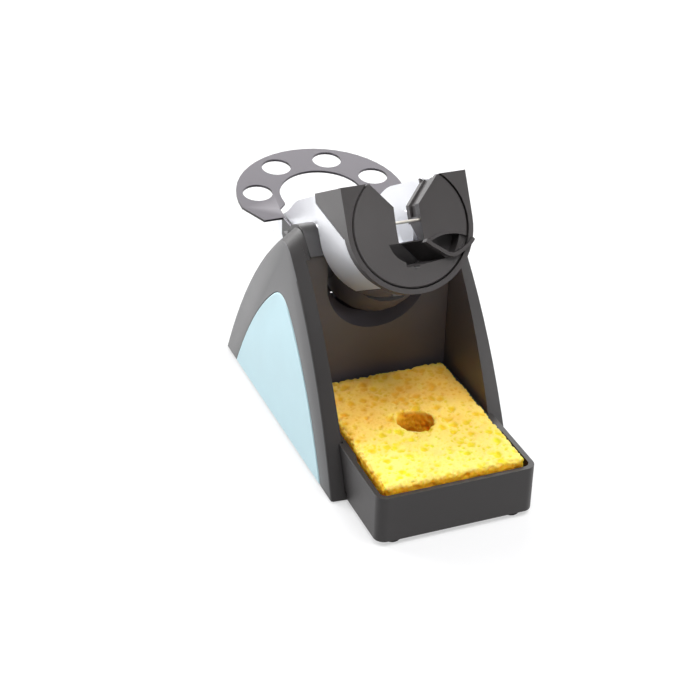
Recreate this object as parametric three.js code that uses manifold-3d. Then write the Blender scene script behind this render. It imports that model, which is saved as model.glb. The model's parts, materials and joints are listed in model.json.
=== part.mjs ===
// Soldering iron rest: a weighted base between two side panels, a tilting iron holder on trunnions,
// a pull-out sponge tray and a rack for spare tips. Millimetres, +Z up. The tray faces -Y.
// The origin is on the table, under the middle of the whole rest.
import * as THREE from "three";
import { mergeVertices } from "three/addons/utils/BufferGeometryUtils.js";
import Module from "manifold-3d";

const wasm = await Module();
wasm.setup();

// ---------- driving dimensions ----------

const seatGap = 0.3; // between pieces that are fixed to each other
const slideGap = 0.4; // between pieces that slide past each other
const boreGap = 0.15; // round a screw in its hole
const far = 200; // cutting blocks reach past everything

// Across the middle, from the holder's trough outwards
const troughHalfWidth = 19.9;
const washerPlay = 0.25; // at each face of a friction washer
const washerThickness = 1.2;
const earThickness = 6.4;
const earToPanel = 1.7;
const trayOverhang = 1.3; // the tray's front is this much wider than the bay on each side
const earInnerX = troughHalfWidth + washerThickness + 2 * washerPlay;
const earOuterX = earInnerX + earThickness;
const bayHalfWidth = earOuterX + earToPanel; // inner faces of the two panels
const trayHalfWidth = bayHalfWidth + trayOverhang;

// Heights in the base
const footHeight = 1.5;
const floorLow = footHeight + seatGap; // underside of the base floor
const floorThickness = 2.4;
const floorTop = floorLow + floorThickness;
const bayFloorTop = 12; // floor behind the throat wall, over the ballast
const bayFloorWall = 2.1;
const rearWallTop = 26.3; // the low wall that closes the base behind
const sideWallThickness = 2.2;
const sideWallInset = 4.5; // inside the side panel's outline

// Side panels: ogive outlines that lean inwards
const panelThickness = 6.7; // at the table
const panelLean = 0.026; // the outer face moves in by this much per mm of height
const panelBottom = 0.8;
const panelFrontY = 30.6;
const panelRearY = 151;
const panelFrontBulge = 12;
const panelRearBulge = 11;
const panelTipCut = 9.6; // how far down each flank the rounded tip starts
const panelTipRise = 6.7; // above the pivot
const panelTipLead = 1.7; // in front of the pivot
const panelEdge = 0.9; // rounded edge round the outer face
const innerEdgeProud = 0.5; // the outline on the inner face stands this much further out
const innerTipRise = 3;
const baseFrontY = panelFrontY + 2.9;
const baseRearY = panelRearY - 4.5;
const wingInset = 2.1; // the base floor ends this far inside the panel's outer face
const accentFrontMargin = 10.8; // from the panel's front toe to the accent panel
const accentRearMargin = 11.8;
const accentTipDrop = 22.5; // from the panel's tip to the accent's tip
const accentBulge = 8.5;
const accentTipCut = 11;
const accentThickness = 1.6;
const accentProud = 0.25;
const accentPocketDepth = 1.9; // weight-saving pocket behind the accent panel
const accentPocketMargin = 3.2;
const accentPocketBottom = 10;

// Trunnions
const throatY = 78.2; // front face of the throat wall
const pivotY = throatY + 11.2;
const pivotZ = 76.3;
const pillarRear = pivotY + 13;
const pillarBottom = pivotZ - 21.3;
const earRise = 8.2; // top of the trunnion cap above the pivot
const bushOuterRadius = 5;
const bushInset = 0.4; // the bush ends this far inside each face of its ear
const trunnionRadius = 3;
const bushRunning = 0.08; // radial play of the trunnion in its bush
const trunnionBossReach = 4.4; // from the trough's outer face inwards
const trunnionBossWall = 1.3; // closes the boss over the pin's inner end
const washerRadius = 7;

// Throat wall with its U-shaped notch
const throatThickness = 3;
const notchRadius = earInnerX - 0.8; // at the front face
const notchTaper = 1.8;
const notchRearRadius = notchRadius - notchTaper; // at the back of the collar
const notchDrop = 13; // below the pivot, at the front face
const notchRearDrop = notchDrop - 2.3;
const collarDepth = 6.3;
const collarWall = 3.4;

// Holder head, in its own frame: depth runs down the iron's axis from the bezel's face
const headTilt = 29.5; // degrees below the horizontal, down towards the rear
const bezelToPivot = 43.45;
const insertRadius = 21.85;
const insertGap = 0.45;
const bezelRim = 1.8;
const bezelHalfWidth = insertRadius + insertGap + bezelRim;
const bezelTop = 17.1; // straight top edge above the iron's axis
const bezelThickness = 4;
const ledgeWidth = 1; // behind the insert's edge
const ledgeThickness = 1;
const frontSectionClear = 13.45; // from the front section's end to the trunnions
const frontSectionEnd = bezelToPivot - frontSectionClear;
const shellWall = 2.3;
const troughWall = 1.8;
const frontTop = bezelTop - 0.2; // of the shell's front section
const troughTop = 17.4;
const tailReach = 62.55; // behind the trunnions
const tailEnd = bezelToPivot + tailReach;
const tailTop = 6.8;
const tailCornerRadius = 9;
const dripHoleRadius = 6.5;
const cheekThickness = 1;
const cheekLength = frontSectionEnd - 2;
const keelStripHalfWidth = 13.1;
const seamHeight = -6; // where the shell ends and the keel starts, below the axis
const bellyArcRadius = notchRearRadius - 0.5; // the belly is a barrel round the trunnion axis
const bellyOffset = notchRearDrop - 0.2;
const bellyWall = 2;
const saddleDepth = frontSectionEnd + 2.3;
const saddleTop = -5;
const saddleThickness = 2;
const flangeHalfWidth = 9; // the bezel's flange under the shell's front
const flangeThickness = 2.2;
const flangeEnd = 17;
const frameScrewXs = [-5, 5];
const frameScrewDepth = 11;
const frameScrewSink = 0.9; // of the head's seat into the keel strip

// Funnel insert
const insertThickness = 2.3;
const insertDish = 1.9;
const slotTopHalfWidth = 13.2;
const slotHalfWidth = 4.9;
const slotKnee = 7.7;
const slotBottom = -4.9;
const slotWall = 1.6;
const slotWallDepth = 14;
const slotFootDepth = 7; // the slot's walls shorten to this at their lower end
const slotGrooveDepths = [5.5, 11]; // recess along the inside of the slot's walls
const slotGroove = 0.9;
const slotWebDepth = 12.6; // the webs between the flared walls' rear ends
const slotWebHalfWidth = 11.5;
const slotWebBottom = 12.8;
const mouthWall = 1.4;
const mouthWallDepth = 26;
const pocketWall = 1.1;
const pocketDepth = 7.8;
const pocketEdgeDepth = 1.6; // where the thumb pocket crosses the insert's edge
const lipWidth = 1.3;
const lipProud = 1.6;
const restPinRadius = 0.55;
const restPinHeight = 2;
const restPinDepth = 3.1;
const restPinSocket = 1.15; // how far each end runs into the slot's wall

// Sponge tray
const trayTop = 20.7;
const traySkirtBottom = 2;
const trayWall = 2;
const trayFloor = 1.5;
const trayRearWall = 1.4;
const trayCornerRadius = 4;
const trayToThroat = 0.6;
const trayUnderside = floorTop + seatGap;
const trayFootX = trayHalfWidth - 7.4;
const trayFootY = 4.3;
const trayFootRadius = 3.2;
const trayFootPadRadius = 4.2;
const trayFootPadBottom = traySkirtBottom + 0.05;

// Sponge
const spongeTop = trayTop + 2.7;
const spongePlay = 0.4;
const spongeHoleRadius = 7;
const spongeBevel = 1.2;

// Tip rack
const rackReach = 48.6; // from the trunnions back to the centre of its arcs
const rackY = pivotY + rackReach;
const rackZ = pivotZ - 4.4; // top face there
const rackTilt = 7; // degrees, rising to the rear
const rackThickness = 1;
const rackOuterRadius = bayHalfWidth + panelThickness - 2; // as wide as the base
const rackInnerRadius = rackOuterRadius - 17.5;
const rackHoleRadius = 6;
const rackHolePitch = rackOuterRadius - 8.6;
const rackHoleAngles = [-75.1, -25.4, 25.4, 75.1];
const rackFrontEdge = -13.1;
const rackFlareFrom = -6.9; // the legs' inner edges draw in to the arc between these two
const rackFlareTo = -3.4;
const rackShoulder = rackOuterRadius - 5.4;
const rackEarHeight = 9.5;
const rackRibThickness = 2.4; // behind the pillar, outside the rack's ear

// Fixings
const screwRadius = 1.25;
const screwHeadRadius = 2.3;
const screwHeadHeight = 1.1;
const footRadius = 4.6;
const footStemRadius = 1.8;
const footStemGap = 0.2;
const baseFootX = bayHalfWidth + 0.3;
const baseFootYs = [baseFrontY + 6.5, baseRearY - 5.2];
const panelScrewX = bayHalfWidth + 2.3;
const panelScrewYs = [baseFrontY + 18.5, baseRearY - 16.5];
const panelScrewTip = 8.6;
const ballastScrewYs = [throatY + 14.8, baseRearY - 10.5];
const capScrewX = (earInnerX + earOuterX) / 2;
const capScrewY = pivotY + bushOuterRadius + screwRadius + 1.2;
const capScrewHeadZ = pivotZ - 10.3;
const capScrewReach = 3; // into the cap

// ---------- solids ----------

function solid(geometry) {
  const bare = new THREE.BufferGeometry();
  bare.setAttribute("position", geometry.getAttribute("position"));
  if (geometry.index) bare.setIndex(geometry.index);
  const merged = mergeVertices(bare, 1e-4);
  return new wasm.Manifold(
    new wasm.Mesh({
      numProp: 3,
      vertProperties: new Float32Array(merged.attributes.position.array),
      triVerts: new Uint32Array(merged.index.array),
    }),
  );
}

function geometryOf(made) {
  const mesh = made.getMesh();
  const geometry = new THREE.BufferGeometry();
  geometry.setAttribute("position", new THREE.BufferAttribute(mesh.vertProperties, 3));
  geometry.setIndex(new THREE.BufferAttribute(mesh.triVerts, 1));
  geometry.computeVertexNormals();
  return geometry;
}

const join = (first, ...others) => others.reduce((sum, next) => sum.add(next), first);
const cut = (first, ...others) => others.reduce((rest, next) => rest.subtract(next), first);
const common = (first, ...others) => others.reduce((rest, next) => rest.intersect(next), first);

function box(x0, x1, y0, y1, z0, z1) {
  const geometry = new THREE.BoxGeometry(x1 - x0, y1 - y0, z1 - z0);
  return solid(geometry.translate((x0 + x1) / 2, (y0 + y1) / 2, (z0 + z1) / 2));
}

// A round rod along one axis; centre holds its place on the other two axes, in X, Y, Z order.
function rod(axis, radius, from, to, centre, sides = 20) {
  const geometry = new THREE.CylinderGeometry(radius, radius, to - from, sides);
  const middle = (from + to) / 2;
  if (axis === "x") geometry.rotateZ(-Math.PI / 2).translate(middle, centre[0], centre[1]);
  if (axis === "y") geometry.translate(centre[0], middle, centre[1]);
  if (axis === "z") geometry.rotateX(Math.PI / 2).translate(centre[0], centre[1], middle);
  return solid(geometry);
}

// Shapes drawn in the plane across an axis and extruded along it.
function extrude(shape, depth, curveSegments) {
  return new THREE.ExtrudeGeometry(shape, { depth, bevelEnabled: false, curveSegments });
}

// shape holds (y, z)
function alongX(shape, x0, x1, curveSegments = 10) {
  const turn = new THREE.Matrix4().set(0, 0, 1, x0, 1, 0, 0, 0, 0, 1, 0, 0, 0, 0, 0, 1);
  return solid(extrude(shape, x1 - x0, curveSegments).applyMatrix4(turn));
}

// shape holds (x, z)
function alongY(shape, y0, y1, curveSegments = 10) {
  const turn = new THREE.Matrix4().set(1, 0, 0, 0, 0, 0, -1, y1, 0, 1, 0, 0, 0, 0, 0, 1);
  return solid(extrude(shape, y1 - y0, curveSegments).applyMatrix4(turn));
}

// shape holds (x, y)
function alongZ(shape, z0, z1, curveSegments = 6) {
  return solid(extrude(shape, z1 - z0, curveSegments).translate(0, 0, z0));
}

// A turned solid about an axis through centre; profile holds [radius, position along the axis].
function turned(axis, profile, centre, sides = 28) {
  const points = profile.map(([radius, along]) => new THREE.Vector2(radius, along));
  const geometry = new THREE.LatheGeometry(points, sides);
  if (axis === "x") geometry.rotateZ(-Math.PI / 2).translate(0, centre[0], centre[1]);
  if (axis === "y") geometry.translate(centre[0], 0, centre[1]);
  if (axis === "z") geometry.rotateX(Math.PI / 2).translate(centre[0], centre[1], 0);
  return solid(geometry);
}

function polygon(points) {
  return new THREE.Shape(points.map(([a, b]) => new THREE.Vector2(a, b)));
}

// A solid through sections that hold the same number of points, with flat triangulated ends.
function loft(sections, flatten) {
  const count = sections[0].length;
  const positions = sections.flat().flatMap((p) => [p.x, p.y, p.z]);
  const triangles = [];
  for (let s = 0; s + 1 < sections.length; s++) {
    for (let i = 0; i < count; i++) {
      const a = s * count + i;
      const b = s * count + ((i + 1) % count);
      triangles.push(a, b, b + count, a, b + count, a + count);
    }
  }
  const last = (sections.length - 1) * count;
  for (const [a, b, c] of THREE.ShapeUtils.triangulateShape(sections[0].map(flatten), [])) {
    triangles.push(a, c, b);
  }
  for (const [a, b, c] of THREE.ShapeUtils.triangulateShape(sections.at(-1).map(flatten), [])) {
    triangles.push(last + a, last + b, last + c);
  }
  const geometry = new THREE.BufferGeometry();
  geometry.setAttribute("position", new THREE.Float32BufferAttribute(positions, 3));
  geometry.setIndex(triangles);
  return solid(geometry);
}

// The same solid on the other side of the middle plane.
function mirrored(made) {
  const geometry = geometryOf(made).scale(-1, 1, 1);
  const index = geometry.index.array;
  for (let i = 0; i < index.length; i += 3) {
    [index[i + 1], index[i + 2]] = [index[i + 2], index[i + 1]];
  }
  return solid(geometry);
}

// ---------- outlines ----------

// A pointed arch in (y, z): two bulging flanks from the base line to a rounded tip.
function archShape({ frontY, rearY, bottom, tipY, tipZ, frontBulge, rearBulge, tipCut }) {
  const tip = new THREE.Vector2(tipY, tipZ);
  const flank = (base, bulge) => {
    const along = tip.clone().sub(base).normalize();
    const side = Math.sign(base.x - tipY);
    const outward = new THREE.Vector2(along.y * side, -along.x * side);
    const control = base.clone().add(tip).multiplyScalar(0.5).addScaledVector(outward, bulge);
    const end = tip.clone().addScaledVector(control.clone().sub(tip).normalize(), tipCut);
    return { control, end };
  };
  const front = flank(new THREE.Vector2(frontY, bottom), frontBulge);
  const rear = flank(new THREE.Vector2(rearY, bottom), rearBulge);
  const shape = new THREE.Shape();
  shape.moveTo(frontY, bottom);
  shape.lineTo(rearY, bottom);
  shape.quadraticCurveTo(rear.control.x, rear.control.y, rear.end.x, rear.end.y);
  shape.quadraticCurveTo(tipY, tipZ, front.end.x, front.end.y);
  shape.quadraticCurveTo(front.control.x, front.control.y, frontY, bottom);
  return shape;
}

const panelTipY = pivotY - panelTipLead;
const panelTipZ = pivotZ + panelTipRise;

// The panel's outline on its outer face, drawn in by an inset.
function panelOutline(inset) {
  return {
    frontY: panelFrontY + inset,
    rearY: panelRearY - inset,
    bottom: panelBottom,
    tipY: panelTipY,
    tipZ: panelTipZ - 1.5 * inset,
    frontBulge: panelFrontBulge,
    rearBulge: panelRearBulge,
    tipCut: panelTipCut,
  };
}

const panelOuterX = (z) => bayHalfWidth + panelThickness - panelLean * z;
const panelTipWidth = panelOuterX(panelTipZ) - panelEdge - bayHalfWidth;

// The outline this far inside the panel's inner face, with the slope of its edge carried on.
function carriedOutline(distance) {
  const share = 1 + distance / panelTipWidth;
  return { ...panelOutline(-innerEdgeProud * share), tipZ: panelTipZ + innerTipRise * share };
}

const innerOutline = carriedOutline(0);

function accentOutline(inset) {
  return {
    frontY: panelFrontY + accentFrontMargin + inset,
    rearY: panelRearY - accentRearMargin - inset,
    bottom: panelBottom - 1,
    tipY: panelTipY + 0.8,
    tipZ: panelTipZ - accentTipDrop - 1.5 * inset,
    frontBulge: accentBulge,
    rearBulge: accentBulge,
    tipCut: accentTipCut,
  };
}

// A section of an arch in the leaning plane that lies the given distance inside the outer face.
function leaningSection(outline, depth) {
  const points = archShape(outline).getPoints(10);
  points.pop();
  return points.map((p) => new THREE.Vector3(panelOuterX(p.y) - depth, p.x, p.y));
}

function uprightSection(outline, x) {
  const points = archShape(outline).getPoints(10);
  points.pop();
  return points.map((p) => new THREE.Vector3(x, p.x, p.y));
}

// The outline moved outwards by a distance, for a wall round an opening.
function grown(shape, distance) {
  const points = shape.getPoints(6);
  if (points[0].distanceTo(points.at(-1)) < 1e-6) points.pop();
  const sense = THREE.ShapeUtils.isClockWise(points) ? -1 : 1;
  const moved = points.map((point, i) => {
    const before = points.at(i - 1);
    const after = points[(i + 1) % points.length];
    const along = after.clone().sub(before).setLength(distance * sense);
    return new THREE.Vector2(point.x + along.y, point.y - along.x);
  });
  return new THREE.Shape(moved);
}

const byYZ = (p) => new THREE.Vector2(p.y, p.z);
const byXZ = (p) => new THREE.Vector2(p.x, p.z);

// A U with straight sides in (x, z), round at the bottom, centred on (0, centreZ).
function uShape(halfWidth, top, centreZ = 0) {
  const shape = new THREE.Shape();
  shape.moveTo(-halfWidth, top);
  shape.lineTo(-halfWidth, centreZ);
  shape.absarc(0, centreZ, halfWidth, Math.PI, 2 * Math.PI, false);
  shape.lineTo(halfWidth, top);
  shape.closePath();
  return shape;
}

// ---------- base ----------

const splitZ = pivotZ; // the trunnion bores are halved here
const floorHalfWidth = bayHalfWidth - seatGap;
const wingHalfWidth = bayHalfWidth + panelThickness - wingInset;

// The tapering way through the throat wall that the holder's belly swings in.
function notchSolid() {
  const top = splitZ + 10;
  const notchSteps = 24;
  const section = (y, radius, centreZ, topHalfWidth) => {
    const points = [new THREE.Vector3(-topHalfWidth, y, top)];
    for (let i = 0; i <= notchSteps; i++) {
      const angle = Math.PI + (Math.PI * i) / notchSteps;
      const x = radius * Math.cos(angle);
      points.push(new THREE.Vector3(x, y, centreZ + radius * Math.sin(angle)));
    }
    points.push(new THREE.Vector3(topHalfWidth, y, top));
    return points;
  };
  const front = section(throatY, notchRadius, pivotZ - notchDrop, notchRadius);
  const rear = section(
    throatY + collarDepth,
    notchRearRadius,
    pivotZ - notchRearDrop,
    notchRadius + 0.6,
  );
  const before = front.map((p) => new THREE.Vector3(p.x, p.y - 1, p.z));
  const behind = rear.map((p) => new THREE.Vector3(p.x, p.y + 20, p.z));
  return loft([behind, rear, front, before], byXZ);
}

// The tip rack is bent sheet: an ear under each leg runs forward to a rib behind the pillar.
const rackAngle = THREE.MathUtils.degToRad(rackTilt);
const rackFrontY = rackY + rackFrontEdge * Math.cos(rackAngle);
const rackEarTop = rackZ + rackFrontEdge * Math.sin(rackAngle) - 0.1;
const rackEarBottom = rackEarTop - rackEarHeight;
const rackEarFront = pivotY + washerRadius + 2;
const rackEarRear = rackFrontY + 1.2;
const rackEarInnerX = troughHalfWidth + slideGap;
const rackEarOuterX = rackEarInnerX + rackThickness;
const rackRibX = rackEarOuterX + seatGap;
const rackScrewY = pillarRear + 5;
const rackScrewZ = rackEarTop - 5;

function rackRib() {
  const rib = alongX(
    polygon([
      [pivotY + 5, pillarBottom + 3],
      [pivotY + 5, splitZ - 4],
      [pillarRear, splitZ - 4.2],
      [rackScrewY + 3.5, rackEarTop - 2],
      [rackScrewY + 3.5, rackScrewZ - 3.5],
      [pillarRear + 2, pillarBottom + 1],
    ]),
    rackRibX,
    rackRibX + rackRibThickness,
  );
  const bore = rod("x", screwRadius + boreGap, rackRibX - 1, rackRibX + 4, [rackScrewY, rackScrewZ], 16);
  return cut(rib, bore);
}

function pillar() {
  const block = alongX(
    polygon([
      [throatY + 0.2, pillarBottom],
      [throatY + 0.2, splitZ],
      [pillarRear, splitZ],
      [pillarRear, splitZ - 10.3],
      [pivotY + 2, pillarBottom],
    ]),
    earInnerX,
    floorHalfWidth,
  );
  const sideWall = common(
    alongX(
      archShape({ ...panelOutline(sideWallInset), bottom: floorTop - 1 }),
      floorHalfWidth - sideWallThickness,
      floorHalfWidth,
    ),
    box(0, far, throatY + 1, baseRearY, 0, far),
  );
  const tie = box(
    rackRibX,
    floorHalfWidth,
    pillarRear - 1,
    pillarRear + 1.5,
    pillarBottom - 3,
    splitZ - 6.3,
  );
  return cut(
    join(block, rackRib(), sideWall, tie),
    rod("z", screwRadius + boreGap, pillarBottom - 15, splitZ + 10, [capScrewX, capScrewY]),
    rod("z", screwHeadRadius + slideGap, pillarBottom - 15, capScrewHeadZ, [capScrewX, capScrewY]),
    box(0, far, 0, far, splitZ, far),
  );
}

// The low rear wall follows the panels' rear flank.
function rearWall() {
  const outline = (inset) => archShape({ ...panelOutline(inset), bottom: floorTop - 1 });
  return common(
    cut(
      alongX(outline(sideWallInset), -floorHalfWidth, floorHalfWidth),
      alongX(outline(sideWallInset + sideWallThickness), -far, far),
    ),
    box(-far, far, pillarRear, far, floorTop, rearWallTop),
  );
}

const ballastHalfWidth = floorHalfWidth - bayFloorWall - 0.5;
const baseFeet = baseFootYs.flatMap((y) => [
  [-baseFootX, y],
  [baseFootX, y],
]);

function baseBody() {
  const side = pillar();
  const halfWidth = floorHalfWidth;
  const pocketFront = throatY + throatThickness + 3;
  const made = join(
    box(-wingHalfWidth, wingHalfWidth, baseFrontY, baseRearY, floorLow, floorTop),
    box(-halfWidth, halfWidth, throatY + 1, baseRearY, floorLow, bayFloorTop),
    box(-halfWidth, halfWidth, throatY, throatY + throatThickness, floorTop - 1, splitZ),
    alongY(
      uShape(notchRadius + collarWall, splitZ, pivotZ - notchRearDrop),
      throatY + 1,
      throatY + collarDepth,
      14,
    ),
    side,
    mirrored(side),
    rearWall(),
  );
  const ballastPocket = box(
    -halfWidth + bayFloorWall,
    halfWidth - bayFloorWall,
    pocketFront,
    baseRearY - bayFloorWall,
    0,
    bayFloorTop - bayFloorWall,
  );
  const holes = [];
  for (const [x, y] of baseFeet) {
    holes.push(rod("z", footStemRadius + footStemGap, 0, floorTop + 1, [x, y], 12));
  }
  for (const y of panelScrewYs) {
    for (const x of [-panelScrewX, panelScrewX]) {
      holes.push(rod("z", screwRadius + boreGap, 0, floorTop + 1, [x, y], 12));
    }
  }
  for (const y of ballastScrewYs) {
    holes.push(rod("z", screwRadius + boreGap, floorLow, bayFloorTop - 0.6, [0, y], 12));
  }
  const washerRecess = rod("x", washerRadius + 0.5, -earInnerX, earInnerX, [pivotY, pivotZ], 32);
  const bushBore = rod(
    "x",
    bushOuterRadius + seatGap,
    -earOuterX - boreGap,
    earOuterX + boreGap,
    [pivotY, pivotZ],
    32,
  );
  return cut(made, ballastPocket, notchSolid(), washerRecess, bushBore, ...holes);
}

function ballastPlate() {
  const bottom = floorLow + 1.6;
  const top = bayFloorTop - bayFloorWall - seatGap;
  const front = throatY + throatThickness + 3.5;
  const rear = baseRearY - bayFloorWall - 0.5;
  const shape = roundedRectangle(-ballastHalfWidth, ballastHalfWidth, front, rear, 3);
  const holes = ballastScrewYs.map((y) => rod("z", screwRadius + boreGap, 0, top + 1, [0, y], 12));
  const clearFeet = baseFeet.map(([x, y]) => {
    return rod("z", footStemRadius + 1, 0, floorTop + 2.8, [x, y], 12);
  });
  return cut(alongZ(shape, bottom, top, 5), ...holes, ...clearFeet);
}

function roundedRectangle(x0, x1, y0, y1, radius) {
  const shape = new THREE.Shape();
  shape.moveTo(x0 + radius, y0);
  shape.lineTo(x1 - radius, y0);
  shape.absarc(x1 - radius, y0 + radius, radius, -Math.PI / 2, 0, false);
  shape.lineTo(x1, y1 - radius);
  shape.absarc(x1 - radius, y1 - radius, radius, 0, Math.PI / 2, false);
  shape.lineTo(x0 + radius, y1);
  shape.absarc(x0 + radius, y1 - radius, radius, Math.PI / 2, Math.PI, false);
  shape.lineTo(x0, y0 + radius);
  shape.absarc(x0 + radius, y0 + radius, radius, Math.PI, 1.5 * Math.PI, false);
  return shape;
}

// A screw that points up, with its head's underside at headZ.
function uprightScrew(x, y, headZ, tipZ) {
  const profile = [
    [0, headZ - screwHeadHeight],
    [screwHeadRadius * 0.8, headZ - screwHeadHeight],
    [screwHeadRadius, headZ - screwHeadHeight * 0.6],
    [screwHeadRadius, headZ],
    [screwRadius, headZ],
    [screwRadius, tipZ - 0.8],
    [screwRadius * 0.4, tipZ],
    [0, tipZ],
  ];
  return turned("z", profile, [x, y], 10);
}

function rubberFoot(x, y, radius, seatZ, stemTop) {
  const profile = [
    [0, 0],
    [radius - 0.5, 0],
    [radius, 0.5],
    [radius, seatZ],
    [footStemRadius, seatZ],
    [footStemRadius, stemTop],
    [0, stemTop],
  ];
  return turned("z", profile, [x, y], 16);
}

// ---------- side panels ----------

function sidePanel() {
  const body = loft(
    [
      uprightSection(innerOutline, bayHalfWidth),
      leaningSection(panelOutline(0), panelEdge),
      leaningSection(panelOutline(panelEdge * 0.35), panelEdge * 0.3),
      leaningSection(panelOutline(panelEdge), 0),
    ],
    byYZ,
  );
  // The collar closes the gap to the trunnion cap above the bore's split.
  const collarWidth = earToPanel - seatGap;
  const collar = common(
    loft(
      [
        uprightSection(carriedOutline(collarWidth), bayHalfWidth - collarWidth),
        uprightSection(carriedOutline(-0.6), bayHalfWidth + 0.5),
      ],
      byYZ,
    ),
    box(0, far, 0, far, splitZ + seatGap, far),
  );
  const recess = loft(
    [
      leaningSection(accentOutline(0), accentThickness),
      leaningSection(accentOutline(0), -3),
    ],
    byYZ,
  );
  const pocketOutline = accentOutline(accentPocketMargin);
  const pocket = cut(
    loft(
      [
        leaningSection(pocketOutline, accentThickness + accentPocketDepth),
        leaningSection(pocketOutline, accentThickness - 1),
      ],
      byYZ,
    ),
    box(0, far, 0, far, -far, accentPocketBottom),
  );
  const rebate = box(
    bayHalfWidth - 1,
    wingHalfWidth + seatGap,
    baseFrontY - seatGap,
    baseRearY + seatGap,
    -1,
    floorTop + seatGap,
  );
  const holes = panelScrewYs.map((y) => {
    return rod("z", screwRadius + boreGap, 0, panelScrewTip + 0.6, [panelScrewX, y], 12);
  });
  return cut(join(body, collar), recess, pocket, rebate, ...holes);
}

function accentPanel() {
  const inset = 0.22; // the dark line round the accent
  return cut(
    loft(
      [
        leaningSection(accentOutline(inset), accentThickness - seatGap),
        leaningSection(accentOutline(inset), -accentProud + 0.4),
        leaningSection(accentOutline(inset + 0.45), -accentProud),
      ],
      byYZ,
    ),
    box(0, far, 0, far, -far, panelBottom + 0.3),
  );
}

// ---------- trunnion parts ----------

function trunnionCap() {
  const shape = new THREE.Shape();
  const bottom = splitZ + seatGap;
  shape.moveTo(throatY - 0.7, bottom);
  shape.lineTo(throatY - 0.7, bottom + 0.6);
  shape.lineTo(pivotY - 5, pivotZ + earRise - 2.2);
  shape.quadraticCurveTo(pivotY - 1.4, pivotZ + earRise + 1.3, pivotY + 2.8, pivotZ + earRise - 0.6);
  shape.lineTo(pivotY + 8.4, pivotZ + earRise - 3.4);
  shape.lineTo(pillarRear, bottom);
  shape.closePath();
  return cut(
    alongX(shape, earInnerX, earOuterX, 10),
    rod("x", bushOuterRadius + seatGap, earInnerX - 1, earOuterX + 1, [pivotY, pivotZ], 32),
    rod("z", screwRadius + boreGap, 0, splitZ + capScrewReach + 0.4, [capScrewX, capScrewY], 16),
  );
}

function bush() {
  const inner = trunnionRadius + bushRunning;
  const profile = [
    [inner, earInnerX + bushInset],
    [bushOuterRadius, earInnerX + bushInset],
    [bushOuterRadius, earOuterX - bushInset],
    [inner, earOuterX - bushInset],
    [inner, earInnerX + bushInset],
  ];
  return turned("x", profile, [pivotY, pivotZ]);
}

// ---------- holder head, in the head's own frame ----------

// Depth down the iron's axis from the bezel's face, as a place in the head's frame.
const at = (depth) => depth - bezelToPivot;

function cheekShape(clearance) {
  return polygon([
    [at(bezelThickness - 0.6), bezelTop + clearance],
    [at(cheekLength - 0.5 + clearance), bezelTop + 0.5 + clearance],
    [at(cheekLength + clearance), bezelTop - 2.9 - clearance],
    [at(bezelThickness + 1), -0.6 - clearance],
    [at(bezelThickness - 0.6), -0.6 - clearance],
  ]);
}

const openAbove = () => box(-far, far, -far, far, bezelTop, far);

function frameScrewHoles() {
  return frameScrewXs.map((x) => {
    return rod("z", screwRadius + boreGap, -bezelHalfWidth - 5, -15, [x, at(frameScrewDepth)], 16);
  });
}

function headFrame() {
  const plate = cut(
    alongY(uShape(bezelHalfWidth, bezelTop), at(0), at(bezelThickness), 15),
    rod("y", insertRadius + insertGap, at(-1), at(bezelThickness + 1), [0, 0], 56),
  );
  const ledgeFront = at(bezelThickness - ledgeThickness);
  const ledge = cut(
    rod("y", insertRadius + 1, ledgeFront, at(bezelThickness), [0, 0], 56),
    rod("y", insertRadius - ledgeWidth, at(0), at(10), [0, 0], 56),
    openAbove(),
    alongY(slotShape(0.4, bezelTop + 5), at(0), at(10)),
  );
  const cheek = alongX(cheekShape(0), bezelHalfWidth - cheekThickness, bezelHalfWidth);
  const flangeOuter = bezelHalfWidth - shellWall - seatGap;
  const flange = common(
    cut(
      rod("y", flangeOuter, at(bezelThickness - 0.8), at(flangeEnd), [0, 0], 48),
      rod("y", flangeOuter - flangeThickness, at(0), at(flangeEnd + 1), [0, 0], 48),
    ),
    box(-flangeHalfWidth, flangeHalfWidth, -far, far, -far, 0),
  );
  return cut(join(plate, ledge, cheek, mirrored(cheek), flange), ...frameScrewHoles());
}

// The trough's plan: straight sides with rounded corners at the tail.
function troughPlan(halfWidth, end, radius) {
  const shape = new THREE.Shape();
  shape.moveTo(-halfWidth, at(frontSectionEnd - 15));
  shape.lineTo(halfWidth, at(frontSectionEnd - 15));
  shape.lineTo(halfWidth, at(end) - radius);
  shape.absarc(halfWidth - radius, at(end) - radius, radius, 0, Math.PI / 2, false);
  shape.lineTo(-halfWidth + radius, at(end));
  shape.absarc(-halfWidth + radius, at(end) - radius, radius, Math.PI / 2, Math.PI, false);
  return shape;
}

function headOuter() {
  const front = alongY(
    uShape(bezelHalfWidth, frontTop),
    at(bezelThickness + seatGap),
    at(frontSectionEnd),
    15,
  );
  const rear = common(
    alongY(uShape(troughHalfWidth, troughTop), at(frontSectionEnd - 1), at(tailEnd), 12),
    alongZ(troughPlan(troughHalfWidth, tailEnd, tailCornerRadius), -far, far, 4),
  );
  return { front, rear };
}

function headInner() {
  const front = alongY(
    uShape(bezelHalfWidth - shellWall, troughTop + 20),
    at(0),
    at(frontSectionEnd - 2),
    15,
  );
  const inside = troughHalfWidth - troughWall;
  const rear = common(
    alongY(uShape(inside, troughTop + 20), at(frontSectionEnd - 10), at(tailEnd - troughWall), 12),
    alongZ(troughPlan(inside, tailEnd - troughWall, tailCornerRadius - troughWall), -far, far, 4),
  );
  return join(front, rear);
}

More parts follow.
